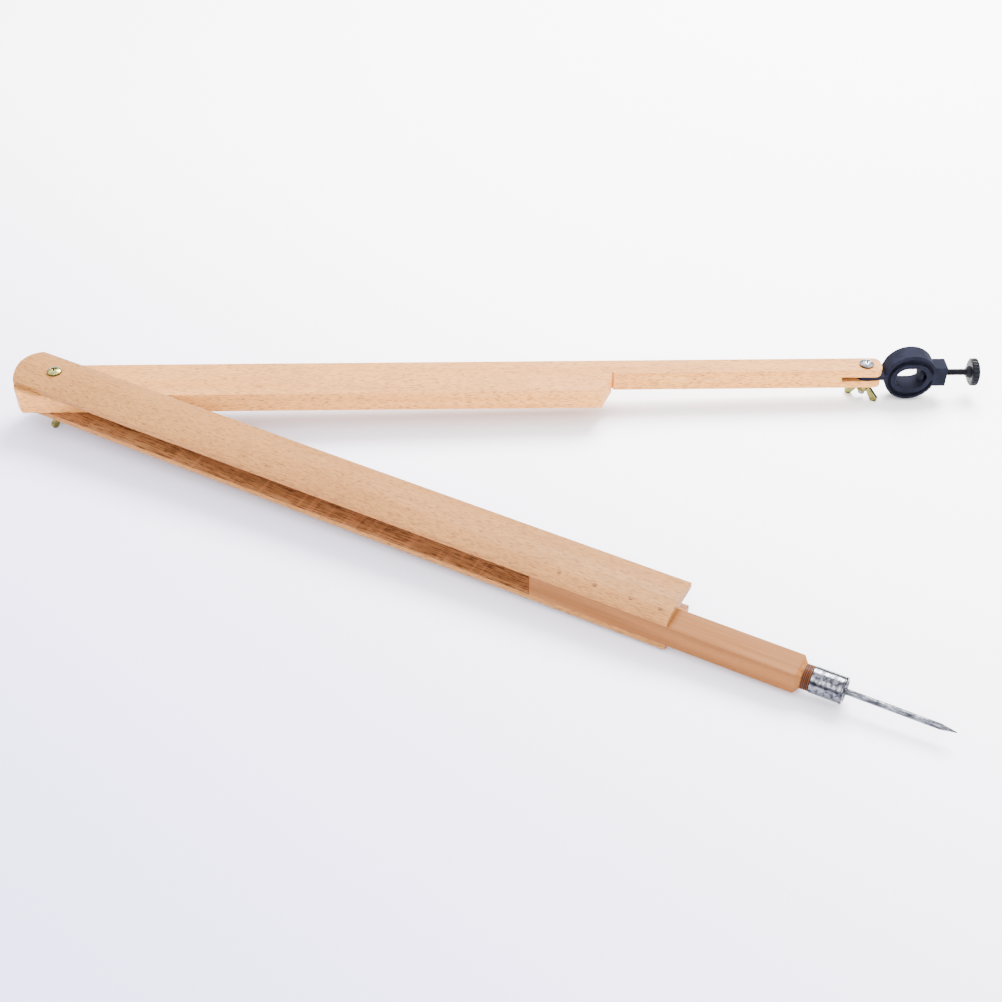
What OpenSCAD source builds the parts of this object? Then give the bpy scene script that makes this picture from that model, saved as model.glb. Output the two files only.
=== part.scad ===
// Wooden board compass with a steel spike on one leg and a marker clamp on the other.
// The spike leg is two crowned cheeks nailed to a core bar. The pen leg folds between the cheeks.

/* [Legs] */
// Angle between the two legs as the compass lies
open_angle = 29; // [10:1:60]
// Width of each leg
leg_w = 30; // [28:0.5:32]
// Thickness of the pen leg
pen_leg_t = 11.8; // [11:0.1:12]
// Gap between the two cheeks, which is also the core bar's thickness
slot_t = 12.4; // [12.2:0.1:13]
// Length of a cheek from the pivot to its far end
cheek_len = 385; // [370:1:400]
// Thickness of a cheek along its edges
cheek_edge_t = 3.2; // [2.5:0.1:4]
// Thickness of a cheek at the top of its crown
cheek_mid_t = 5.8; // [5:0.1:7]
// Radius of the rounded end of both legs at the pivot
end_r = 28; // [26:0.5:32]
// Distance from the pivot to the step in the pen leg, at its inner edge
step_x = 311.6; // [300:0.2:312]
// How far the slanted step leans along the leg, from one edge to the other
step_lean = 6.5; // [4:0.5:9]
// Width of the narrow part of the pen leg
narrow_w = 13; // [12:0.5:13.5]
// Length of the pen leg from the pivot to its tip
pen_leg_len = 475; // [470:1:485]
// Gap between the step and the core bar when the legs are closed
step_gap = 0.8; // [0.5:0.1:2]
// Width of the core bar
core_w = 14; // [13:0.5:14.5]
// Length of the core bar from the pivot to its shoulder
core_len = 451; // [440:1:460]

/* [Spike and ferrule] */
// Length of the turned neck that shows between the core bar and the ferrule
neck_len = 4; // [2:0.5:6]
// Outside radius of the ferrule
ferrule_r = 6.45; // [6:0.05:6.8]
// Wall thickness of the ferrule
ferrule_wall = 0.8; // [0.6:0.1:1]
// Length of the ferrule
ferrule_len = 15.7; // [13:0.1:20]
// Radius of the spike
spike_r = 1.5; // [1.2:0.1:2]
// Length of the spike that stands out of the ferrule
spike_out = 51; // [40:1:60]
// Length of the spike's point
spike_point = 7.5; // [5:0.5:10]

/* [Screws and wing nuts] */
// Radius of the screws
screw_r = 2; // [1.95:0.05:2.05]
// Radial clearance of every running fit on a screw
running_gap = 0.08; // [0.04:0.01:0.1]
// Radius of a screw's pan head
head_r = 4.1; // [3.8:0.1:4.5]
// Height of a screw's pan head
head_h = 2.6; // [2.2:0.1:3]
// Length of the pivot screw under its head
pivot_screw_len = 30; // [29:1:32]
// Length of the clevis screw under its head
clevis_screw_len = 20; // [19:1:22]
// Span of a wing nut across its wings
wing_span = 20; // [18:0.5:22]
// Height of a wing nut from its seat to the tips of its wings
wing_h = 10.5; // [9:0.5:12]
// Direction in which the pivot wing nut's wings point
pivot_wing_turn = 50; // [0:1:180]
// Direction in which the clevis wing nut's wings point
clevis_wing_turn = 147; // [0:1:180]

/* [Marker holder] */
// Distance from the pen leg's tip back to the clevis screw
clevis_back = 8.8; // [8:0.1:10]
// Width of the saw kerf that takes the holder's tab
kerf_t = 2.7; // [2.6:0.1:3]
// Length of the saw kerf
kerf_len = 23.5; // [20:0.5:30]
// Thickness of the holder's tab
tab_t = 2.4; // [2:0.1:2.5]
// Radius of the tab's round end
tab_end_r = 6.2; // [5.5:0.1:6.4]
// Distance from the clevis screw to the centre of the clamp ring
ring_reach = 25.5; // [25:0.5:28]
// Outside radius of the clamp ring
ring_r = 14.9; // [14.8:0.1:15.6]
// Width of the clamp ring
ring_w = 11.4; // [10:0.1:12]
// Thickness of the ring's outer wall
ring_wall = 1.6; // [1.2:0.1:1.8]
// Length of the oval collar round the bore
collar_len = 13; // [11.8:0.2:14]
// Thickness of the collar's wall
collar_wall = 2.6; // [2.2:0.1:2.9]
// Radius of the two round ends of the collar's oval bore
bore_r = 7; // [7:0.1:7.4]
// Half the distance between the centres of the bore's two round ends
bore_half = 2; // [1.9:0.1:2.2]
// Height of the boss that the thumb screw runs through
boss_h = 12.8; // [12:0.1:14]
// Distance from the ring's centre to the end of the boss
boss_reach = 20.7; // [20.5:0.1:23]
// Length of bare thread between the boss and the knob
thread_out = 12.6; // [12:0.1:14]
// Radius of the thumb screw's knob
knob_r = 8; // [7:0.1:9]
// Thickness of the knob's knurled rim
knob_rim_t = 3; // [1.5:0.1:4]

/* [Hidden] */
$fn = 96;

beech = [0.87, 0.72, 0.55];
core_wood = [0.70, 0.45, 0.28];
zinc = [0.74, 0.75, 0.77];
yellow_zinc = [0.72, 0.68, 0.42];
black_plastic = [0.10, 0.10, 0.12];
black_steel = [0.06, 0.06, 0.07];

slop = 1;                                   // how far a cutting shape runs past the face it cuts
cut_len = 100;                              // length of a cutting shape that runs right through
end_centre = [3.4, 2.5];                    // centre of the pivot end's arc, off both axes
crown_r = (pow(leg_w / 2, 2) + pow(cheek_mid_t - cheek_edge_t, 2)) / (2 * (cheek_mid_t - cheek_edge_t));
spot_face = 0.2;                            // depth of the flat seats on the crowned cheeks
seat_z = slot_t / 2 + cheek_mid_t - spot_face;
washer_r = 4.5;
washer_t = 0.8;
bore_on_screw = screw_r + running_gap;
face_gap = 0.05;                            // gap between faces that turn or slide against each other
brad_x = [326, 345, 364, 379];              // places of the brads along the spike leg
brad_r = 0.7;
brad_head_r = 1.1;
brad_head_h = 0.6;
brad_len = 14;
low_brad_shift = -8;                        // the lower row sits along from the upper one, so they never meet
core_y = -leg_w / 2 + core_w / 2;           // centre line of the core bar, ferrule and spike
core_chamfer = 2.6;
neck_r = 6.15;
neck_groove = 0.3;                          // depth of the grooves between the neck's ridges
neck_ridges = 3;
tenon_r = ferrule_r - ferrule_wall;
tenon_len = 12;
spike_in = 10;                              // length of spike driven into the tenon
spike_root_r = 1.1;                         // the driven end is a little thinner than the rest
spike_tip_r = 0.25;
ferrule_x = core_len + neck_len;
spike_start_x = ferrule_x + tenon_len - spike_in;
spike_tip_x = ferrule_x + ferrule_len + spike_out;
narrow_y = leg_w / 2 - narrow_w / 2;        // centre line of the pen leg's narrow part
tip_corner_r = 4.5;                         // rounding of the pen leg's two corners at the tip
relief_w = 1.1;                             // saw cut in the inner corner of the step
relief_deep = 1.5;
clevis_x = pen_leg_len - clevis_back;
ring_x = clevis_x + ring_reach;
fillet_r = 1.5;                             // hollow curve between the tab and the ring
ring_edge_r = 0.7;                          // rounding of the ring's outer edges
web_t = 7.6;                                // web between the ring's wall and the collar
column_r = 5.7;                             // solid round the thumb screw where it crosses the groove
boss_edge_r = 1.5;
pad_r = 4.8;
pad_t = 2;
pad_face_x = 5.7;                           // the pad as it stands in the bore, from the bore's axis
pad_pocket_r = pad_r + 0.3;
pad_pocket_x = 11;                          // floor of the pocket that the pad draws back into
nut_flats = 7;
nut_t = 3.2;
nut_corner_r = nut_flats / 2 / cos(30);
tip_pin_r = 1.3;                            // end of the thumb screw that turns inside the pad
tip_pin_len = 1.2;
knob_x = boss_reach + thread_out;
knob_hub_len = 2;
knob_bevel = 0.8;                           // length of the bevel on each side of the knurled rim
knob_face_r = 6.4;
knob_t = knob_rim_t + 2 * knob_bevel;
knob_bore_deep = knob_hub_len + 0.6 * knob_t;
knurls = 24;
knurl_r = 0.75;
hub_top_r = 3;
hub_seat_r = 4;
hub_h = 4.6;
wing_t = 2;
wing_tip_r = 2.2;

// The origin is under the middle of the compass's box, level with the pivot wing nut's lowest point.
corner_x = end_centre[0] - sqrt(pow(end_r, 2) - pow(leg_w / 2 - end_centre[1], 2));
x_low = end_centre[0] - end_r;
x_high = ring_x + knob_x + knob_hub_len + knob_t;
y_low = -spike_tip_x * sin(open_angle) + core_y * cos(open_angle);
y_high = -corner_x * sin(open_angle) + leg_w / 2 * cos(open_angle);
z_low = -seat_z - washer_t - face_gap - wing_h;
origin_shift = [-(x_low + x_high) / 2, -(y_low + y_high) / 2, -z_low];

module placed() {
  translate(origin_shift) children();
}

module in_spike_leg() {
  placed() rotate([0, 0, -open_angle]) children();
}

module in_holder() {
  placed() translate([ring_x, narrow_y, 0]) children();
}

// Turns a shape drawn along +Z so that it runs along +X.
module along_x() {
  rotate([0, 90, 0]) children();
}

// Plan of a leg's pivot end: an arc off the axis, cut to the leg's width and run on to length.
module leg_plan(length) {
  intersection() {
    union() {
      translate(end_centre) circle(r = end_r);
      translate([end_centre[0], -leg_w]) square([length - end_centre[0], 2 * leg_w]);
    }
    translate([-2 * end_r, -leg_w / 2]) square([2 * end_r + length, leg_w]);
  }
}

// Section of a cheek: flat below, crowned above.
module cheek_section() {
  intersection() {
    translate([-leg_w / 2, 0]) square([leg_w, cheek_mid_t]);
    translate([0, cheek_mid_t - crown_r]) circle(r = crown_r, $fn = 360);
  }
}

// One cheek with its flat face at the slot, its pivot hole, the flat seat round it and its brad holes.
module cheek(seat_r, brad_shift) {
  difference() {
    cheek_blank(seat_r);
    brads(brad_shift);
  }
}

module cheek_blank(seat_r) {
  translate([0, 0, slot_t / 2]) difference() {
    intersection() {
      translate([-2 * end_r, 0, 0]) rotate([90, 0, 90]) linear_extrude(2 * end_r + cheek_len) cheek_section();
      linear_extrude(cheek_mid_t + slop) leg_plan(cheek_len);
    }
    translate([0, 0, -slop]) cylinder(r = bore_on_screw, h = cheek_mid_t + 2 * slop);
    translate([0, 0, cheek_mid_t - spot_face]) cylinder(r = seat_r, h = slop);
  }
}

// Turns a top cheek or its brads into the lower ones.
module under_side() {
  mirror([0, 0, 1]) children();
}

module top_cheek() {
  color(beech) in_spike_leg() cheek(head_r + 0.3, 0);
}

module bottom_cheek() {
  color(beech) in_spike_leg() under_side() cheek(washer_r + 0.3, low_brad_shift);
}

// Plan of the core bar: a slanted start that matches the pen leg's step, and a chamfered shoulder.
module core_plan() {
  core_x = step_x + step_gap;
  lean = step_lean * core_w / (leg_w - narrow_w);
  polygon([
    [core_x, -core_w / 2],
    [core_len - core_chamfer, -core_w / 2],
    [core_len, -core_w / 2 + core_chamfer],
    [core_len, core_w / 2 - core_chamfer],
    [core_len - core_chamfer, core_w / 2],
    [core_x + lean, core_w / 2]
  ]);
}

// Side view of the core bar, with the same chamfer on its shoulder.
module core_side() {
  core_x = step_x + step_gap;
  polygon([
    [core_x, -slot_t / 2],
    [core_len - core_chamfer, -slot_t / 2],
    [core_len, -slot_t / 2 + core_chamfer],
    [core_len, slot_t / 2 - core_chamfer],
    [core_len - core_chamfer, slot_t / 2],
    [core_x, slot_t / 2]
  ]);
}

// Turned neck with fine ridges, and the tenon that the ferrule grips.
module turned_end() {
  ridge = neck_len / neck_ridges;
  translate([core_len - core_chamfer, 0, 0]) along_x() cylinder(r = tenon_r, h = core_chamfer + neck_len + tenon_len);
  for (i = [0 : neck_ridges - 1]) {
    translate([core_len + i * ridge, 0, 0]) along_x() cylinder(r = neck_r, h = ridge * 0.7);
  }
  translate([core_len, 0, 0]) along_x() cylinder(r = neck_r - neck_groove, h = neck_len);
}

module core_bar() {
  color(core_wood) in_spike_leg() difference() {
    translate([0, core_y, 0]) {
      intersection() {
        translate([0, 0, -slot_t / 2]) linear_extrude(slot_t) core_plan();
        translate([0, core_w / 2, 0]) rotate([90, 0, 0]) linear_extrude(core_w) core_side();
      }
      turned_end();
    }
    translate([spike_start_x, core_y, 0]) along_x() cylinder(r = spike_root_r, h = spike_in + slop);
    brads(0);
    under_side() brads(low_brad_shift);
  }
}

// A row of brads whose heads lie flush with the crowned face of a cheek.
module brads(shift) {
  brad_y = core_y - 1.5;
  crown_drop = crown_r - sqrt(pow(crown_r, 2) - pow(brad_y, 2));
  head_z = slot_t / 2 + cheek_mid_t - crown_drop + 0.1;
  for (x = brad_x) {
    translate([x + shift, brad_y, head_z - brad_head_h]) cylinder(r = brad_head_r, h = brad_head_h);
    translate([x + shift, brad_y, head_z - brad_len]) cylinder(r = brad_r, h = brad_len - brad_head_h / 2);
  }
}

module top_brads() {
  color(zinc) in_spike_leg() brads(0);
}

module bottom_brads() {
  color(zinc) in_spike_leg() under_side() brads(low_brad_shift);
}

// Steel tube with its open end rolled into a bead that stands a little proud.
module ferrule() {
  roll_r = 0.9;
  roll_proud = 0.25;
  color(zinc) in_spike_leg() translate([ferrule_x, core_y, 0]) along_x() rotate_extrude() {
    translate([tenon_r, 0]) square([ferrule_wall, ferrule_len - roll_r]);
    translate([ferrule_r + roll_proud - roll_r, ferrule_len - roll_r]) circle(r = roll_r);
  }
}

module spike() {
  root_end_x = ferrule_x + ferrule_len + 0.3;
  cone_x = spike_tip_x - spike_point;
  color(zinc) in_spike_leg() translate([0, core_y, 0]) {
    translate([spike_start_x, 0, 0]) along_x() cylinder(r = spike_root_r, h = root_end_x - spike_start_x);
    translate([root_end_x, 0, 0]) along_x() cylinder(r = spike_r, h = cone_x - root_end_x);
    translate([cone_x, 0, 0]) along_x() cylinder(r1 = spike_r, r2 = spike_tip_r, h = spike_point);
  }
}

// Cross-shaped driver recess, narrowing towards its bottom.
module cross_recess() {
  deep = 1.5;
  wing = 0.95;
  intersection() {
    union() {
      translate([-head_r, -wing / 2, head_h - deep]) cube([2 * head_r, wing, deep + slop]);
      translate([-wing / 2, -head_r, head_h - deep]) cube([wing, 2 * head_r, deep + slop]);
    }
    translate([0, 0, head_h - deep]) cylinder(r1 = 0.9, r2 = 3.2, h = deep + slop);
  }
}

// Pan head: a short straight rim under a low dome.
module pan_head() {
  rim_h = 1.1;
  dome_h = head_h - rim_h;
  dome_r = (pow(head_r, 2) + pow(dome_h, 2)) / (2 * dome_h);
  difference() {
    intersection() {
      cylinder(r = head_r, h = head_h);
      translate([0, 0, head_h - dome_r]) sphere(r = dome_r);
    }
    cross_recess();
  }
}

// Machine screw with its head's seat on z = 0 and its shank below.
module machine_screw(length) {
  end_chamfer = 0.4;
  pan_head();
  translate([0, 0, -length + end_chamfer]) cylinder(r = screw_r, h = length - end_chamfer);
  translate([0, 0, -length]) cylinder(r1 = screw_r - end_chamfer, r2 = screw_r, h = end_chamfer);
}

// Flat washer lying under a seat at z = 0.
module washer() {
  translate([0, 0, -washer_t]) difference() {
    cylinder(r = washer_r, h = washer_t - face_gap);
    translate([0, 0, -slop]) cylinder(r = bore_on_screw, h = washer_t + 2 * slop);
  }
}

// Outline of both wings, seen from the side, with the nut's seat on y = 0.
module wing_outline() {
  tip_x = wing_span / 2 - wing_tip_r;
  tip_z = wing_h - wing_tip_r;
  half = concat(
    [[0, 0.8], [hub_seat_r, 1.2]],
    [for (a = [-30 : 20 : 150]) [tip_x + wing_tip_r * cos(a), tip_z + wing_tip_r * sin(a)]],
    [[hub_top_r, hub_h], [0, hub_h]]
  );
  polygon(half);
  mirror([1, 0]) polygon(half);
}

// Wing nut hanging below a washer, with its seat at z = 0 and its wings along X.
module wing_nut() {
  mirror([0, 0, 1]) difference() {
    union() {
      cylinder(r1 = hub_seat_r, r2 = hub_top_r, h = hub_h);
      translate([0, wing_t / 2, 0]) rotate([90, 0, 0]) linear_extrude(wing_t) wing_outline();
    }
    translate([0, 0, -slop]) cylinder(r = bore_on_screw, h = wing_h + 2 * slop);
  }
}

module pivot_screw() {
  color(yellow_zinc) placed() translate([0, 0, seat_z]) machine_screw(pivot_screw_len);
}

module pivot_washer() {
  color(yellow_zinc) placed() translate([0, 0, -seat_z]) washer();
}

module pivot_wing_nut() {
  color(yellow_zinc) placed() translate([0, 0, -seat_z - washer_t - face_gap]) rotate([0, 0, pivot_wing_turn]) wing_nut();
}

// Plan of the pen leg: the wide part, the slanted step and the narrow part with its rounded tip.
module pen_leg_plan() {
  inner = leg_w / 2 - narrow_w;
  difference() {
    leg_plan(pen_leg_len);
    polygon([
      [step_x, -leg_w / 2 - slop],
      [step_x, -leg_w / 2],
      [step_x + step_lean, inner - 2 * relief_w],
      [step_x + step_lean, inner + relief_deep],
      [step_x + step_lean + relief_w, inner + relief_deep],
      [step_x + step_lean + relief_w, inner],
      [pen_leg_len + slop, inner],
      [pen_leg_len + slop, -leg_w / 2 - slop]
    ]);
    for (side = [-1, 1]) {
      tip_corner(side);
    }
  }
}

// The sliver outside one rounded corner of the pen leg's tip.
module tip_corner(side) {
  edge = narrow_y + side * narrow_w / 2;
  centre = [pen_leg_len - tip_corner_r, edge - side * tip_corner_r];
  difference() {
    translate([centre[0], side > 0 ? centre[1] : centre[1] - tip_corner_r - slop])
      square([tip_corner_r + slop, tip_corner_r + slop]);
    translate(centre) circle(r = tip_corner_r);
  }
}

module pen_leg_bar() {
  color(beech) placed() difference() {
    translate([0, 0, -pen_leg_t / 2]) linear_extrude(pen_leg_t) pen_leg_plan();
    translate([0, 0, -pen_leg_t]) cylinder(r = bore_on_screw, h = 2 * pen_leg_t);
    translate([clevis_x, narrow_y, -pen_leg_t]) cylinder(r = bore_on_screw, h = 2 * pen_leg_t);
    translate([pen_leg_len - kerf_len, -leg_w, -kerf_t / 2]) cube([kerf_len + slop, 2 * leg_w, kerf_t]);
  }
}

module clevis_screw() {
  color(zinc) placed() translate([clevis_x, narrow_y, pen_leg_t / 2]) machine_screw(clevis_screw_len);
}

module clevis_washer() {
  color(zinc) placed() translate([clevis_x, narrow_y, -pen_leg_t / 2]) washer();
}

module clevis_wing_nut() {
  color(yellow_zinc) placed() translate([clevis_x, narrow_y, -pen_leg_t / 2 - washer_t - face_gap])
    rotate([0, 0, clevis_wing_turn]) wing_nut();
}

// Solid drum with rounded rims and its axis along Y.
module drum() {
  flat = ring_w / 2 - ring_edge_r;
  rotate([90, 0, 0]) rotate_extrude() {
    translate([0, -ring_w / 2]) square([ring_r - ring_edge_r, ring_w]);
    translate([0, -flat]) square([ring_r, 2 * flat]);
    for (side = [-1, 1]) {
      translate([ring_r - ring_edge_r, side * flat]) circle(r = ring_edge_r);
    }
  }
}

// Grooves in both faces that leave the ring's outer wall and a thick web in the middle.
module grooves() {
  for (side = [0, 1]) {
    mirror([0, side, 0]) translate([0, ring_w, 0]) rotate([90, 0, 0])
      cylinder(r = ring_r - ring_wall, h = ring_w - web_t / 2);
  }
}

// Oval bar along Y: two round ends and the block between them.
module oval_bar(radius, length) {
  for (side = [-1, 1]) {
    translate([side * bore_half, length / 2, 0]) rotate([90, 0, 0]) cylinder(r = radius, h = length);
  }
  translate([-bore_half, -length / 2, -radius]) cube([2 * bore_half, length, 2 * radius]);
}

// Tab that swivels in the kerf, meeting the ring in a hollow curve above and below.
module tab() {
  fillet_x = sqrt(pow(ring_r + fillet_r, 2) - pow(tab_t / 2 + fillet_r, 2));
  touch = ring_r / (ring_r + fillet_r);
  translate([-ring_reach, 0, -tab_t / 2]) cylinder(r = tab_end_r, h = tab_t);
  translate([-ring_reach, -ring_w / 2, -tab_t / 2]) cube([ring_reach - ring_r + ring_wall / 2, ring_w, tab_t]);
  translate([0, ring_w / 2, 0]) rotate([90, 0, 0]) linear_extrude(ring_w) difference() {
    polygon([
      [-fillet_x, -tab_t / 2],
      [-fillet_x, tab_t / 2],
      [-fillet_x * touch, (tab_t / 2 + fillet_r) * touch],
      [-ring_r + ring_wall / 2, 0],
      [-fillet_x * touch, -(tab_t / 2 + fillet_r) * touch]
    ]);
    for (side = [-1, 1]) {
      translate([-fillet_x, side * (tab_t / 2 + fillet_r)]) circle(r = fillet_r);
    }
  }
}

// Square boss on the far side of the ring, with its long edges rounded.
module boss() {
  y = ring_w / 2 - boss_edge_r;
  z = boss_h / 2 - boss_edge_r;
  start = sqrt(pow(ring_r, 2) - pow(boss_h / 2, 2)) - 0.4;
  translate([start, 0, 0]) along_x() linear_extrude(boss_reach - start) {
    translate([-z, -ring_w / 2]) square([2 * z, ring_w]);
    translate([-boss_h / 2, -y]) square([boss_h, 2 * y]);
    for (a = [-z, z], b = [-y, y]) {
      translate([a, b]) circle(r = boss_edge_r);
    }
  }
}

module hex_prism(length) {
  along_x() cylinder(r = nut_corner_r, h = length, $fn = 6);
}

module marker_holder() {
  color(black_plastic) in_holder() difference() {
    union() {
      difference() {
        drum();
        grooves();
      }
      oval_bar(bore_r + collar_wall, collar_len);
      along_x() cylinder(r = column_r, h = ring_r - ring_wall / 2);
      tab();
      boss();
    }
    oval_bar(bore_r, cut_len);
    along_x() cylinder(r = pad_pocket_r, h = pad_pocket_x);
    hex_prism(pad_pocket_x + nut_t);
    along_x() cylinder(r = bore_on_screw, h = boss_reach + slop);
    translate([-ring_reach, 0, -ring_r]) cylinder(r = bore_on_screw, h = 2 * ring_r);
  }
}

// Captive nut behind the pad's pocket.
module boss_nut() {
  color(zinc) in_holder() translate([pad_pocket_x, 0, 0]) difference() {
    hex_prism(nut_t);
    translate([-slop, 0, 0]) along_x() cylinder(r = bore_on_screw, h = nut_t + 2 * slop);
  }
}

module thumb_screw() {
  shoulder = pad_face_x + pad_t + face_gap;
  end = knob_x + knob_bore_deep;
  color(black_steel) in_holder() {
    translate([shoulder, 0, 0]) along_x() cylinder(r = screw_r, h = end - shoulder);
    translate([shoulder - tip_pin_len, 0, 0]) along_x() cylinder(r = tip_pin_r, h = tip_pin_len + slop);
  }
}

// Knurled knob with bevelled faces and a tapered hub towards the boss.
module thumb_knob() {
  color(black_plastic) in_holder() translate([knob_x, 0, 0]) along_x() difference() {
    union() {
      cylinder(r1 = 2.8, r2 = 3.8, h = knob_hub_len);
      translate([0, 0, knob_hub_len]) cylinder(r1 = knob_face_r, r2 = knob_r, h = knob_bevel);
      translate([0, 0, knob_hub_len + knob_bevel]) cylinder(r = knob_r, h = knob_rim_t);
      translate([0, 0, knob_hub_len + knob_t - knob_bevel])
        cylinder(r1 = knob_r, r2 = knob_face_r, h = knob_bevel);
    }
    for (i = [0 : knurls - 1]) {
      rotate([0, 0, i * 360 / knurls]) translate([knob_r + 0.25, 0, knob_hub_len - slop])
        cylinder(r = knurl_r, h = knob_t + 2 * slop);
    }
    translate([0, 0, -slop]) cylinder(r = screw_r, h = knob_bore_deep + slop);
  }
}

// Pad that the thumb screw presses against the marker without turning.
module pressure_pad() {
  edge = 0.5;
  color(black_plastic) in_holder() translate([pad_face_x, 0, 0]) along_x() difference() {
    union() {
      cylinder(r1 = pad_r - edge, r2 = pad_r, h = edge);
      translate([0, 0, edge]) cylinder(r = pad_r, h = pad_t - edge);
    }
    translate([0, 0, pad_t - tip_pin_len]) cylinder(r = tip_pin_r + running_gap, h = tip_pin_len + slop);
  }
}

top_cheek();
bottom_cheek();
core_bar();
top_brads();
bottom_brads();
ferrule();
spike();
pivot_screw();
pivot_washer();
pivot_wing_nut();
pen_leg_bar();
clevis_screw();
clevis_washer();
clevis_wing_nut();
marker_holder();
boss_nut();
thumb_screw();
thumb_knob();
pressure_pad();
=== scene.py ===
"""Board compass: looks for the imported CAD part. Metres, in the CAD part's frame."""

import math

import bmesh
import bpy
from mathutils import Matrix, Vector


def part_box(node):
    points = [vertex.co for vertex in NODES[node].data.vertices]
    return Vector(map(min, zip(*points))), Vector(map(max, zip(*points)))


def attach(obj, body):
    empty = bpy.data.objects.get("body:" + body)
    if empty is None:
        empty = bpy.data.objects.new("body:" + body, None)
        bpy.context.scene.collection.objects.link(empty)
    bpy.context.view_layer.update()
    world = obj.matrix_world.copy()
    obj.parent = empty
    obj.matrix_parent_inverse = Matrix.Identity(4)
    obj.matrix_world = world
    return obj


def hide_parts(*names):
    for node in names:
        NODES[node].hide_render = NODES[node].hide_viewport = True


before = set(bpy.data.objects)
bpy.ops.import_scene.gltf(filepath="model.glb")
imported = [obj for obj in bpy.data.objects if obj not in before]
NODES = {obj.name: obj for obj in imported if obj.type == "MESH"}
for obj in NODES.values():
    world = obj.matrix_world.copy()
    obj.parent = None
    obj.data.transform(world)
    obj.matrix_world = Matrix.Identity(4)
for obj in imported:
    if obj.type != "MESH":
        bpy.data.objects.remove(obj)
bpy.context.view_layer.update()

MM = 0.001


def middle(node):
    """Middle of a CAD node's box, in millimetres."""
    low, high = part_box(node)
    return (Vector(low) + Vector(high)) / 2 / MM


# The pivot's place, half the height of the slot between the cheeks, and where along the spike leg
# its turned neck starts, all in millimetres. The angle between the legs is in radians.
PIVOT = Vector((middle("pivot_screw").x, middle("pivot_screw").y, middle("pen_leg_bar").z))
OPEN_ANGLE = math.radians(29.0)
SLOT_HALF = 6.2
NECK_FROM = 450.4
NECK_TO = 451.0

# The thumb screw: an M4 thread, and the plain pin at its end that turns in the pad.
SCREW_R = 2.0
PITCH = 0.7
THREAD_DEPTH = 0.42
PAD_PIN = 1.2
PAD_PIN_R = 1.3
THREAD_SIDES = 32
RINGS_PER_TURN = 6

# The table touches the pivot wing nut, the clevis wing nut and the end of the bottom cheek.
RESTS = [
    PIVOT + Vector((-4.6, -5.4, -PIVOT.z)),
    PIVOT + Vector((459.0, 13.0, -17.2)),
    PIVOT + Vector((337.0, -187.0, -12.0)),
]
TABLE_HALF = 30.0

# The camera: its lens in millimetres, its place from the pivot in millimetres, its angles in degrees.
SENSOR = 36.0
LENS = 51.66
CAMERA_PLACE = Vector((246.4, -667.7, 495.6))
CAMERA_PITCH = 41.2
CAMERA_YAW = 0.66
CAMERA_ROLL = -0.12

# Heights in the sky, from -1 below to 1 above, between which the walls brighten into the ceiling.
WALL_TOP = 0.15
CEILING_FROM = 0.75

# How closely each feature of the surfaces repeats, in cells per metre, along the grain and across it.
BANDS = (3.0, 70.0, 70.0)
STREAKS = (9.0, 420.0, 420.0)
FLECKS = (230.0, 1450.0, 1450.0)
SPARSENESS = (90.0, 420.0, 420.0)
TICKS = (260.0, 1900.0, 1900.0)
PORES = (260.0, 2600.0, 2600.0)
SIDE_BANDS = (4.0, 90.0, 260.0)
SIDE_RAYS = (60.0, 600.0, 900.0)
SLOT_SHADE_BANDS = (14.0, 150.0, 150.0)
SLOT_PORES = (110.0, 1500.0, 1500.0)
SAW_MARKS = (420.0, 18.0, 18.0)
CORE_BANDS = (4.0, 110.0, 110.0)
CORE_STREAKS = (14.0, 800.0, 800.0)
CORE_RAYS = (240.0, 1500.0, 1500.0)
SCRATCHES = (300.0, 5200.0, 2600.0)
LUMPS = (380.0, 900.0, 900.0)
DRAWN_STREAKS = (110.0, 620.0, 620.0)

# The lathe's ridges on the turned neck, in radians per metre: one ridge every 0.84 mm.
NECK_RIDGES = 7500.0

# Depths of the fine relief, in metres.
PORE_DEPTH = 0.00006
PLATE_DEPTH = 0.00003
LUMP_DEPTH = 0.00025
MOULD_DEPTH = 0.00004
PAPER_DEPTH = 0.00005

# Gloss of the planed and unvarnished wood.
WOOD_SPECULAR = 0.08


# ---------------------------------------------------------------- materials


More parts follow.
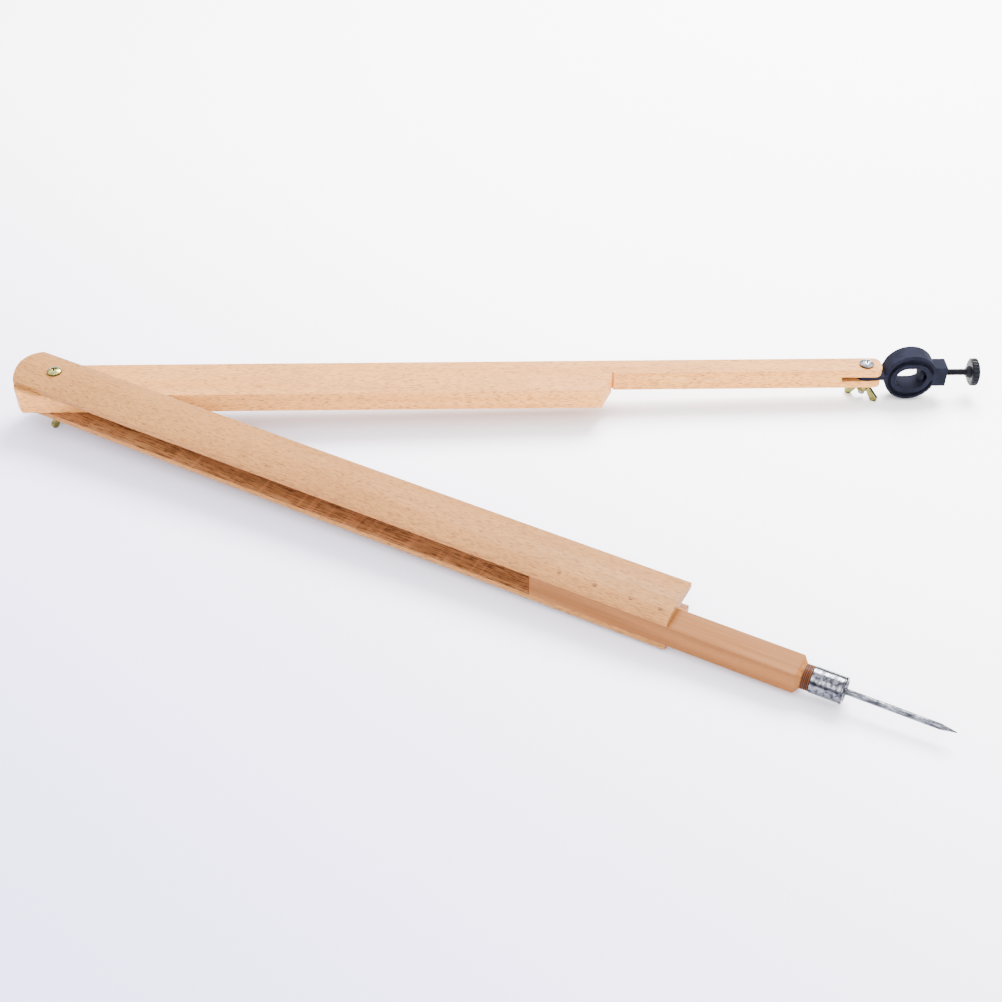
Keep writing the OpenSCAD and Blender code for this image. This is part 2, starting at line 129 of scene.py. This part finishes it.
class Maker:
    """Builds one node material, a node at a time."""

    def __init__(self, name):
        self.mat = bpy.data.materials.new(name)
        self.mat.use_nodes = True
        self.nodes = self.mat.node_tree.nodes
        self.links = self.mat.node_tree.links
        self.nodes.clear()
        self.out = self.nodes.new("ShaderNodeOutputMaterial")
        self.bsdf = self.nodes.new("ShaderNodeBsdfPrincipled")
        self.links.new(self.bsdf.outputs["BSDF"], self.out.inputs["Surface"])
        self.coords = self.nodes.new("ShaderNodeTexCoord").outputs["Object"]

    def link(self, value, socket):
        """Puts a number, a colour or another node's output into a socket."""
        if isinstance(value, bpy.types.NodeSocket):
            self.links.new(value, socket)
        else:
            socket.default_value = value

    def mapped(self, turn=0.0, stretch=(1.0, 1.0, 1.0), shift=(0.0, 0.0, 0.0)):
        """Object coordinates turned about Z, then stretched and shifted."""
        turned = self.nodes.new("ShaderNodeMapping")
        turned.inputs["Rotation"].default_value = (0.0, 0.0, turn)
        self.links.new(self.coords, turned.inputs["Vector"])
        scaled = self.nodes.new("ShaderNodeMapping")
        scaled.inputs["Scale"].default_value = stretch
        scaled.inputs["Location"].default_value = shift
        self.links.new(turned.outputs["Vector"], scaled.inputs["Vector"])
        return scaled.outputs["Vector"]

    def noise(self, vector, scale, detail=3.0, rough=0.5, distort=0.0):
        """Cloudy noise from 0 to 1."""
        node = self.nodes.new("ShaderNodeTexNoise")
        node.inputs["Scale"].default_value = scale
        node.inputs["Detail"].default_value = detail
        node.inputs["Roughness"].default_value = rough
        node.inputs["Distortion"].default_value = distort
        self.link(vector, node.inputs["Vector"])
        return node.outputs["Fac"]

    def spots(self, vector):
        """Distance from the nearest of a field of scattered points, 0 at a point."""
        node = self.nodes.new("ShaderNodeTexVoronoi")
        node.feature = "F1"
        node.inputs["Scale"].default_value = 1.0
        node.inputs["Randomness"].default_value = 1.0
        self.link(vector, node.inputs["Vector"])
        return node.outputs["Distance"]

    def ramp(self, value, low, high, bottom=0.0, top=1.0):
        """Maps low..high onto bottom..top, easing in and out."""
        node = self.nodes.new("ShaderNodeMapRange")
        node.interpolation_type = "SMOOTHSTEP"
        node.inputs["From Min"].default_value = low
        node.inputs["From Max"].default_value = high
        node.inputs["To Min"].default_value = bottom
        node.inputs["To Max"].default_value = top
        self.link(value, node.inputs["Value"])
        return node.outputs["Result"]

    def math(self, kind, a, b=0.0):
        """One arithmetic step on two values."""
        node = self.nodes.new("ShaderNodeMath")
        node.operation = kind
        self.link(a, node.inputs[0])
        self.link(b, node.inputs[1])
        return node.outputs["Value"]

    def mix(self, factor, a, b, kind="MIX"):
        """Colour a where the factor is 0 and colour b where it is 1."""
        node = self.nodes.new("ShaderNodeMix")
        node.data_type = "RGBA"
        node.blend_type = kind
        self.link(factor, node.inputs[0])
        self.link(a, node.inputs[6])
        self.link(b, node.inputs[7])
        return node.outputs[2]

    def axis_of(self, vector, axis):
        """One coordinate of a vector: 0, 1 or 2 for x, y or z."""
        node = self.nodes.new("ShaderNodeSeparateXYZ")
        self.links.new(vector, node.inputs[0])
        return node.outputs[axis]

    def facing(self, axis):
        """How far the surface's own normal points along an axis of the object, from -1 to 1."""
        geometry = self.nodes.new("ShaderNodeTexCoord")
        return self.axis_of(geometry.outputs["Normal"], axis)

    def bump(self, height, distance, strength):
        """A normal that follows a fine relief."""
        node = self.nodes.new("ShaderNodeBump")
        node.inputs["Distance"].default_value = distance
        node.inputs["Strength"].default_value = strength
        self.link(height, node.inputs["Height"])
        return node.outputs["Normal"]

    def edges(self, radius):
        """0 on flat surfaces, rising towards 1 on corners sharper than the radius."""
        soft = self.nodes.new("ShaderNodeBevel")
        soft.samples = 4
        soft.inputs["Radius"].default_value = radius
        geometry = self.nodes.new("ShaderNodeNewGeometry")
        dot = self.nodes.new("ShaderNodeVectorMath")
        dot.operation = "DOT_PRODUCT"
        self.links.new(soft.outputs["Normal"], dot.inputs[0])
        self.links.new(geometry.outputs["Normal"], dot.inputs[1])
        return self.ramp(dot.outputs["Value"], low=0.99, high=0.8)

    def occluded(self, reach):
        """1 in the open, falling towards 0 deep in corners and recesses."""
        node = self.nodes.new("ShaderNodeAmbientOcclusion")
        node.samples = 8
        node.inputs["Distance"].default_value = reach
        return node.outputs["AO"]

    def finish(self, color, roughness, normal, metallic=0.0, specular=0.5):
        """Joins the parts of the surface together and gives the finished material."""
        self.link(color, self.bsdf.inputs["Base Color"])
        self.link(roughness, self.bsdf.inputs["Roughness"])
        self.bsdf.inputs["Metallic"].default_value = metallic
        self.bsdf.inputs["Specular IOR Level"].default_value = specular
        self.links.new(normal, self.bsdf.inputs["Normal"])
        return self.mat


def rgb(r, g, b):
    """An opaque colour, in linear light."""
    return (r, g, b, 1.0)


def tinted(color, factors):
    """A colour with its red, green and blue each scaled."""
    return rgb(*(channel * factor for channel, factor in zip(color, factors)))


def beech(name, turn, face, side, fleck, seed, slot_half=None):
    """Planed beech with its grain along the leg: pale face, sides painted brighter as painted light, short
    dark rays.

    slot_half is the half height in metres of the slot that the inner faces look into, if there is one."""
    m = Maker(name)
    along = m.mapped(turn, shift=(seed, 0.37 * seed, 0.11 * seed))
    bands = m.noise(m.mapped(turn, BANDS, (seed, 0.0, 0.0)), scale=1.6, detail=4.0, rough=0.55, distort=0.4)
    streaks = m.noise(m.mapped(turn, STREAKS, (0.0, seed, 0.0)), scale=1.5, rough=0.6, distort=0.2)
    patches = m.noise(along, scale=22.0, detail=2.0)
    color = m.mix(m.ramp(patches, 0.35, 0.7), face, tinted(face, (0.93, 0.93, 0.93)))
    color = m.mix(m.ramp(bands, 0.42, 0.66, top=0.5), color, tinted(face, (0.86, 0.77, 0.68)))
    color = m.mix(m.ramp(streaks, 0.5, 0.75, top=0.35), color, tinted(face, (0.84, 0.74, 0.64)))
    level = m.math("ABSOLUTE", m.facing(2))
    # Painted light: upright faces take the side colour, a brighter copy of the face colour.
    color = m.mix(m.ramp(level, 0.5, 0.85), side_tone(m, turn, side, seed), color)
    flecks = m.spots(m.mapped(turn, FLECKS, (seed, seed, 0.0)))
    marks = m.ramp(flecks, 0.38, 0.16)
    sparse = m.noise(m.mapped(turn, SPARSENESS, (0.0, 0.0, seed)), scale=1.3, detail=2.0)
    ticks = m.noise(m.mapped(turn, TICKS, (seed, 0.0, seed)), scale=1.0, detail=2.0, rough=0.6)
    color = m.mix(m.ramp(ticks, 0.47, 0.64, top=0.40), color, fleck)
    marks = m.math("MULTIPLY", marks, m.ramp(sparse, 0.38, 0.56))
    color = m.mix(m.math("MULTIPLY", marks, 0.7), color, fleck)
    if slot_half is not None:
        # The inner faces of the slot are painted dark: painted shade.
        color = slot_shade_and_grain(m, turn, color, slot_half, seed)
    pores = m.noise(m.mapped(turn, PORES, (seed, 0.0, 0.0)), scale=1.0, detail=2.0, rough=0.6)
    relief = m.math("SUBTRACT", pores, m.math("MULTIPLY", marks, 0.6))
    rough = m.ramp(streaks, 0.3, 0.7, 0.42, 0.56)
    return m.finish(color, rough, m.bump(relief, PORE_DEPTH, 0.55), specular=WOOD_SPECULAR)


def side_tone(m, turn, side, seed):
    """The quarter-sawn side: broader, softer bands and spindle-shaped rays, on the brighter side colour
    that is painted light.
    """
    bands = m.noise(m.mapped(turn, SIDE_BANDS, (seed, 0.0, seed)), scale=1.5, rough=0.55, distort=0.3)
    rays = m.noise(m.mapped(turn, SIDE_RAYS, (0.0, seed, seed)), scale=1.2, detail=2.0)
    color = m.mix(m.ramp(bands, 0.4, 0.7, top=0.6), side, tinted(side, (0.9, 0.8, 0.68)))
    return m.mix(m.ramp(rays, 0.55, 0.72, top=0.35), color, tinted(side, (0.8, 0.66, 0.52)))


def slot_shade_and_grain(m, turn, color, half, seed):
    """Painted shade on the inner faces of the slot, over the wood's open pores and saw marks across the
    grain.
    """
    height = m.math("ABSOLUTE", m.math("SUBTRACT", m.axis_of(m.coords, 2), PIVOT.z * MM))
    inside = m.ramp(height, half + 0.12 * MM, half + 0.04 * MM)
    stripes = m.mapped(turn, SLOT_SHADE_BANDS, (seed, 0.0, 0.0))
    bands = m.noise(stripes, scale=1.4, detail=4.0, rough=0.6, distort=0.3)
    pores = m.noise(m.mapped(turn, SLOT_PORES, (seed, 0.0, 0.0)), scale=1.2, detail=2.0, rough=0.6)
    saw = m.noise(m.mapped(turn, SAW_MARKS, (0.0, seed, 0.0)), scale=1.0, detail=2.0)
    # Painted shade: these dark browns stand in for the shade inside the slot; the pores and saw marks over
    # them are the wood's own.
    dark = m.mix(m.ramp(bands, 0.35, 0.68), rgb(0.205, 0.084, 0.029), rgb(0.33, 0.145, 0.054))
    dark = m.mix(m.ramp(pores, 0.50, 0.62, top=0.85), dark, rgb(0.055, 0.014, 0.004))
    dark = m.mix(m.ramp(saw, 0.5, 0.7, top=0.25), dark, rgb(0.50, 0.19, 0.075))
    return m.mix(inside, color, dark)


def core_wood(name, turn):
    """The core bar: a redder wood, smoothly planed, with painted shade on its top, and dark ridges on its
    turned neck.
    """
    m = Maker(name)
    stripes = m.mapped(turn, CORE_BANDS, (2.0, 0.0, 0.0))
    bands = m.noise(stripes, scale=1.5, detail=4.0, rough=0.55, distort=0.4)
    streaks = m.noise(m.mapped(turn, CORE_STREAKS, (0.0, 3.0, 0.0)), scale=1.3, rough=0.6)
    color = m.mix(m.ramp(bands, 0.35, 0.7), rgb(0.270, 0.108, 0.031), rgb(0.190, 0.072, 0.019))
    color = m.mix(m.ramp(streaks, 0.5, 0.7, top=0.45), color, rgb(0.20, 0.062, 0.018))
    # Painted shade: faces turned upwards are darkened, to even them with the sides under the lamp above.
    painted_top_shade = m.mix(1.0, color, rgb(0.66, 0.60, 0.36), "MULTIPLY")
    color = m.mix(m.ramp(m.facing(2), 0.6, 0.9), color, painted_top_shade)
    marks = m.ramp(m.spots(m.mapped(turn, CORE_RAYS, (1.0, 1.0, 0.0))), 0.30, 0.12)
    color = m.mix(m.math("MULTIPLY", marks, 0.5), color, rgb(0.16, 0.045, 0.014))
    pivot = Matrix.Rotation(turn, 3, "Z") @ (PIVOT * MM)
    along = m.math("SUBTRACT", m.axis_of(m.mapped(turn), 0), pivot.x)
    neck = m.ramp(along, NECK_FROM * MM, NECK_TO * MM)
    ridges = m.math("SINE", m.math("MULTIPLY", along, NECK_RIDGES))
    stain = m.mix(m.ramp(ridges, -0.8, 0.8), rgb(0.016, 0.004, 0.0015), rgb(0.085, 0.026, 0.008))
    color = m.mix(neck, color, stain)
    pores = m.noise(m.mapped(turn, PORES), scale=1.0, detail=2.0, rough=0.6)
    rough = m.ramp(streaks, 0.3, 0.7, 0.45, 0.6)
    return m.finish(color, rough, m.bump(pores, PORE_DEPTH, 0.5), specular=WOOD_SPECULAR)


def plated(name, color, shade, rough, tint=None):
    """Zinc plate: mottled metal with fine scratches, brighter on worn edges, and painted shade in its
    recesses.
    """
    m = Maker(name)
    cloud = m.noise(m.mapped(), scale=420.0, rough=0.6)
    scratch = m.noise(m.mapped(0.6, SCRATCHES), scale=1.0, detail=2.0, rough=0.6)
    tone = m.mix(m.ramp(cloud, 0.42, 0.60), color, shade)
    if tint is not None:
        film = m.noise(m.mapped(), scale=260.0, detail=2.0, distort=0.6)
        tone = m.mix(m.ramp(film, 0.45, 0.68, top=0.55), tone, tint)
    tone = m.mix(m.math("MULTIPLY", m.edges(0.25 * MM), 0.4), tone, rgb(0.9, 0.9, 0.88))
    # Painted shade: near black where the ambient occlusion finds corners and recesses.
    tone = m.mix(m.ramp(m.occluded(1.6 * MM), 0.55, 0.9), rgb(0.02, 0.019, 0.012), tone)
    pits = m.noise(m.mapped(), scale=2400.0, detail=2.0, rough=0.6)
    relief = m.math("ADD", m.math("MULTIPLY", scratch, 0.5), pits)
    roughness = m.ramp(cloud, 0.3, 0.7, rough * 0.8, rough * 1.35)
    return m.finish(tone, roughness, m.bump(relief, PLATE_DEPTH, 0.35), metallic=1.0)


def galvanised(name):
    """Hot-dipped spike: grey, uneven, with darker drawn streaks."""
    m = Maker(name)
    lumps = m.noise(m.mapped(OPEN_ANGLE, LUMPS), scale=1.0, detail=4.0, rough=0.65, distort=0.5)
    dark = m.noise(m.mapped(OPEN_ANGLE, DRAWN_STREAKS, (3.0, 0.0, 0.0)), scale=1.0, rough=0.6)
    tone = m.mix(m.ramp(lumps, 0.36, 0.68), rgb(0.185, 0.195, 0.220), rgb(0.050, 0.053, 0.063))
    tone = m.mix(m.ramp(dark, 0.43, 0.58, top=0.85), tone, rgb(0.020, 0.021, 0.026))
    rough = m.ramp(lumps, 0.3, 0.7, 0.3, 0.55)
    return m.finish(tone, rough, m.bump(lumps, LUMP_DEPTH, 0.7), metallic=1.0)


def moulded(name, color, rough, specular=0.04):
    """A dark matt surface, moulded or blackened, with a fine grain and pale rubbed edges."""
    m = Maker(name)
    grain = m.noise(m.mapped(), scale=3800.0, detail=2.0, rough=0.6)
    cloud = m.noise(m.mapped(), scale=160.0, rough=0.55)
    tone = m.mix(m.ramp(cloud, 0.35, 0.7), color, tinted(color, (1.5, 1.5, 1.5)))
    tone = m.mix(m.math("MULTIPLY", m.edges(0.3 * MM), 0.35), tone, rgb(0.035, 0.037, 0.05))
    roughness = m.ramp(cloud, 0.3, 0.7, rough * 0.85, rough * 1.2)
    return m.finish(tone, roughness, m.bump(grain, MOULD_DEPTH, 0.5), specular=specular)


def backdrop_paper():
    """Pale table with painted shade: it fades from near white at the back to faint lavender in the near
    left corner.
    """
    m = Maker("backdrop_paper")
    here = m.mapped()
    across = m.math("ADD", m.axis_of(here, 0), m.math("MULTIPLY", m.axis_of(here, 1), 1.1))
    # Painted shade: the darker lavender towards the near left stands in for the light's falloff.
    tone = m.mix(m.ramp(across, -0.55, 0.36), rgb(0.50, 0.48, 0.74), rgb(0.98, 0.98, 0.99))
    fibre = m.noise(m.mapped(), scale=900.0, detail=2.0, rough=0.6)
    return m.finish(tone, 0.75, m.bump(fibre, PAPER_DEPTH, 0.2), specular=0.2)


# Each side colour is a brighter copy of its face colour: painted light on the upright faces.
CHEEK_FACE = rgb(0.275, 0.124, 0.037)
CHEEK_SIDE_LIT = rgb(0.400, 0.178, 0.048)
PEN_FACE = rgb(0.455, 0.205, 0.061)
PEN_SIDE_LIT = rgb(0.760, 0.345, 0.092)
FLECK = rgb(0.060, 0.019, 0.006)

BEECH_TOP = beech("beech_top", OPEN_ANGLE, CHEEK_FACE, CHEEK_SIDE_LIT, FLECK, 1.7, SLOT_HALF * MM)
BEECH_BOTTOM = beech("beech_bottom", OPEN_ANGLE, CHEEK_FACE, CHEEK_SIDE_LIT, FLECK, 5.3, SLOT_HALF * MM)
BEECH_PEN = beech("beech_pen", 0.0, PEN_FACE, PEN_SIDE_LIT, FLECK, 9.1)
CORE = core_wood("core_wood", OPEN_ANGLE)
BRIGHT_ZINC = plated("bright_zinc", rgb(0.30, 0.31, 0.34), rgb(0.10, 0.105, 0.12), rough=0.2)
FERRULE_ZINC = plated("ferrule_zinc", rgb(0.140, 0.145, 0.162), rgb(0.030, 0.031, 0.038), rough=0.15)
YELLOW_ZINC = plated(
    "yellow_zinc",
    rgb(0.33, 0.28, 0.080),
    rgb(0.14, 0.13, 0.035),
    rough=0.22,
    tint=rgb(0.17, 0.25, 0.11),
)
BRAD_STEEL = moulded("brad_steel", rgb(0.110, 0.050, 0.022), rough=0.8)
SPIKE_STEEL = galvanised("spike_steel")
BLACK_PLASTIC = moulded("black_plastic", rgb(0.0068, 0.0074, 0.0130), rough=0.7, specular=0.02)
KNOB_PLASTIC = moulded("knob_plastic", rgb(0.0035, 0.0037, 0.0058), rough=0.34, specular=0.07)
BLACK_STEEL = moulded("black_steel", rgb(0.0030, 0.0030, 0.0042), rough=0.36, specular=0.10)

FINISHES = {
    "top_cheek": BEECH_TOP,
    "bottom_cheek": BEECH_BOTTOM,
    "core_bar": CORE,
    "top_brads": BRAD_STEEL,
    "bottom_brads": BRAD_STEEL,
    "ferrule": FERRULE_ZINC,
    "spike": SPIKE_STEEL,
    "pivot_screw": YELLOW_ZINC,
    "pivot_washer": YELLOW_ZINC,
    "pivot_wing_nut": YELLOW_ZINC,
    "pen_leg_bar": BEECH_PEN,
    "clevis_screw": BRIGHT_ZINC,
    "clevis_washer": BRIGHT_ZINC,
    "clevis_wing_nut": YELLOW_ZINC,
    "marker_holder": BLACK_PLASTIC,
    "boss_nut": BRIGHT_ZINC,
    "thumb_screw": BLACK_STEEL,
    "thumb_knob": KNOB_PLASTIC,
    "pressure_pad": BLACK_PLASTIC,
}

# Rounding of the CAD nodes' sharp edges, in millimetres. The other nodes keep their edges.
EDGE_ROUNDING = {
    "top_cheek": 0.5,
    "bottom_cheek": 0.5,
    "core_bar": 0.4,
    "pen_leg_bar": 0.6,
    "pivot_wing_nut": 0.35,
    "clevis_wing_nut": 0.35,
    "marker_holder": 0.3,
    "thumb_knob": 0.15,
    "pressure_pad": 0.2,
    "ferrule": 0.12,
    "pivot_screw": 0.1,
    "clevis_screw": 0.1,
    "pivot_washer": 0.12,
    "clevis_washer": 0.12,
}

# Points closer than this are one, in metres. The angles are in degrees.
WELD_GAP = 0.000002
FLAT_WITHIN = 0.4
SHARP_FROM = 38


def dress(node, material):
    """Gives a CAD node its material and softens its edges by modifiers, leaving its mesh as it is."""
    obj = NODES[node]
    obj.data.materials.clear()
    obj.data.materials.append(material)
    weld = obj.modifiers.new("weld", "WELD")
    weld.merge_threshold = WELD_GAP
    if node in EDGE_ROUNDING:
        flats = obj.modifiers.new("flats", "DECIMATE")
        flats.decimate_type = "DISSOLVE"
        flats.angle_limit = math.radians(FLAT_WITHIN)
        bevel = obj.modifiers.new("round", "BEVEL")
        bevel.width = EDGE_ROUNDING[node] * MM
        bevel.segments = 3
        bevel.limit_method = "ANGLE"
        bevel.angle_limit = math.radians(SHARP_FROM)
        bevel.use_clamp_overlap = True
        shade = obj.modifiers.new("shade", "WEIGHTED_NORMAL")
        shade.keep_sharp = False
        shade.weight = 100


def thread_depth(place, angle):
    """How far down the thread's flank a point lies: 0 on the crest and 1 at the root.

    place is along the screw in millimetres, and angle is around it in radians."""
    phase = (place / PITCH - angle / math.tau) % 1.0
    return 1.0 - abs(2.0 * phase - 1.0)


def threaded_rod(node, material):
    """The thumb screw as a rod with a real helical thread, in the place of its plain CAD node."""
    low, high = (Vector(corner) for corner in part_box(node))
    axis_y = (low.y + high.y) / 2
    axis_z = (low.z + high.z) / 2
    rings = int((high.x - low.x) / (PITCH * MM) * RINGS_PER_TURN)
    built = bmesh.new()
    rows = []
    for ring in range(rings + 1):
        x = low.x + (high.x - low.x) * ring / rings
        thin = x < low.x + PAD_PIN * MM
        row = []
        for step in range(THREAD_SIDES):
            angle = math.tau * step / THREAD_SIDES
            depth = THREAD_DEPTH * thread_depth(x / MM, angle)
            radius = (PAD_PIN_R if thin else SCREW_R - depth) * MM
            y = axis_y + radius * math.cos(angle)
            z = axis_z + radius * math.sin(angle)
            row.append(built.verts.new((x, y, z)))
        rows.append(row)
    for before, after in zip(rows, rows[1:]):
        for step in range(THREAD_SIDES):
            beside = (step + 1) % THREAD_SIDES
            built.faces.new((before[step], before[beside], after[beside], after[step]))
    built.faces.new(rows[0][::-1])
    built.faces.new(rows[-1])
    bmesh.ops.recalc_face_normals(built, faces=built.faces)
    mesh = bpy.data.meshes.new("thumb_screw_thread")
    built.to_mesh(mesh)
    built.free()
    rod = bpy.data.objects.new("thumb_screw_thread", mesh)
    bpy.context.scene.collection.objects.link(rod)
    mesh.materials.append(material)
    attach(rod, "thumb_screw")
    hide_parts(node)


for node_name, finish in FINISHES.items():
    dress(node_name, finish)

threaded_rod("thumb_screw", BLACK_STEEL)


# ---------------------------------------------------------------- stage, light and camera


def floor():
    """A pale table that the compass rests on, tilted to touch it in three places."""
    mesh = bpy.data.meshes.new("table")
    rest = [place * MM for place in RESTS]
    normal = (rest[1] - rest[0]).cross(rest[2] - rest[0]).normalized()
    if normal.z < 0:
        normal.negate()
    built = bmesh.new()
    bmesh.ops.create_grid(built, x_segments=2, y_segments=2, size=TABLE_HALF)
    turn = Vector((0, 0, 1)).rotation_difference(normal).to_matrix().to_4x4()
    bmesh.ops.transform(built, matrix=Matrix.Translation(rest[0]) @ turn, verts=built.verts)
    built.to_mesh(mesh)
    built.free()
    table = bpy.data.objects.new("table", mesh)
    bpy.context.scene.collection.objects.link(table)
    table.data.materials.append(backdrop_paper())


def lamp(name, place, aim, size, power, color):
    """A round soft light, aimed from its place."""
    light = bpy.data.lights.new(name, "AREA")
    light.shape = "DISK"
    light.size = size
    light.energy = power
    light.color = color
    obj = bpy.data.objects.new(name, light)
    obj.location = place
    obj.rotation_euler = (Vector(aim) - Vector(place)).to_track_quat("-Z", "Y").to_euler()
    bpy.context.scene.collection.objects.link(obj)


def surroundings(color, horizon, zenith):
    """A soft studio: walls dim enough to give metal something dark to mirror, under a bright ceiling."""
    world = bpy.data.worlds.new("studio")
    world.use_nodes = True
    nodes = world.node_tree.nodes
    links = world.node_tree.links
    height = nodes.new("ShaderNodeSeparateXYZ")
    links.new(nodes.new("ShaderNodeTexCoord").outputs["Generated"], height.inputs[0])
    rise = nodes.new("ShaderNodeMapRange")
    rise.interpolation_type = "SMOOTHSTEP"
    rise.inputs["From Min"].default_value = WALL_TOP
    rise.inputs["From Max"].default_value = CEILING_FROM
    rise.inputs["To Min"].default_value = horizon
    rise.inputs["To Max"].default_value = zenith
    links.new(height.outputs["Z"], rise.inputs["Value"])
    back = nodes["Background"]
    back.inputs["Color"].default_value = color
    links.new(rise.outputs["Result"], back.inputs["Strength"])
    bpy.context.scene.world = world


def camera():
    """The viewpoint: in front of the compass and looking down on it."""
    data = bpy.data.cameras.new("camera")
    data.sensor_width = SENSOR
    data.lens = LENS
    data.clip_start = 0.01
    obj = bpy.data.objects.new("camera", data)
    pitch, yaw, roll = (math.radians(angle) for angle in (CAMERA_PITCH, CAMERA_YAW, CAMERA_ROLL))
    forward = Vector((math.sin(yaw) * math.cos(pitch), math.cos(yaw) * math.cos(pitch), -math.sin(pitch)))
    right = Vector((math.cos(yaw), -math.sin(yaw), 0.0))
    up = right.cross(forward)
    rolled_right = math.cos(roll) * right + math.sin(roll) * up
    rolled_up = -math.sin(roll) * right + math.cos(roll) * up
    turn = Matrix((rolled_right, rolled_up, -forward)).transposed().to_4x4()
    obj.matrix_world = Matrix.Translation((PIVOT + CAMERA_PLACE) * MM) @ turn
    bpy.context.scene.collection.objects.link(obj)
    bpy.context.scene.camera = obj


floor()
surroundings((0.97, 0.96, 1.0, 1.0), horizon=0.9, zenith=4.3)
lamp(
    "key",
    place=(0.45, 0.95, 1.2),
    aim=(0.15, 0.35, 0.0),
    size=1.0,
    power=130.0,
    color=(1.0, 0.99, 0.97),
)
lamp(
    "fill",
    place=(-0.3, -1.2, 1.2),
    aim=(0.0, 0.0, 0.0),
    size=1.2,
    power=26.0,
    color=(1.0, 0.99, 0.98),
)
camera()
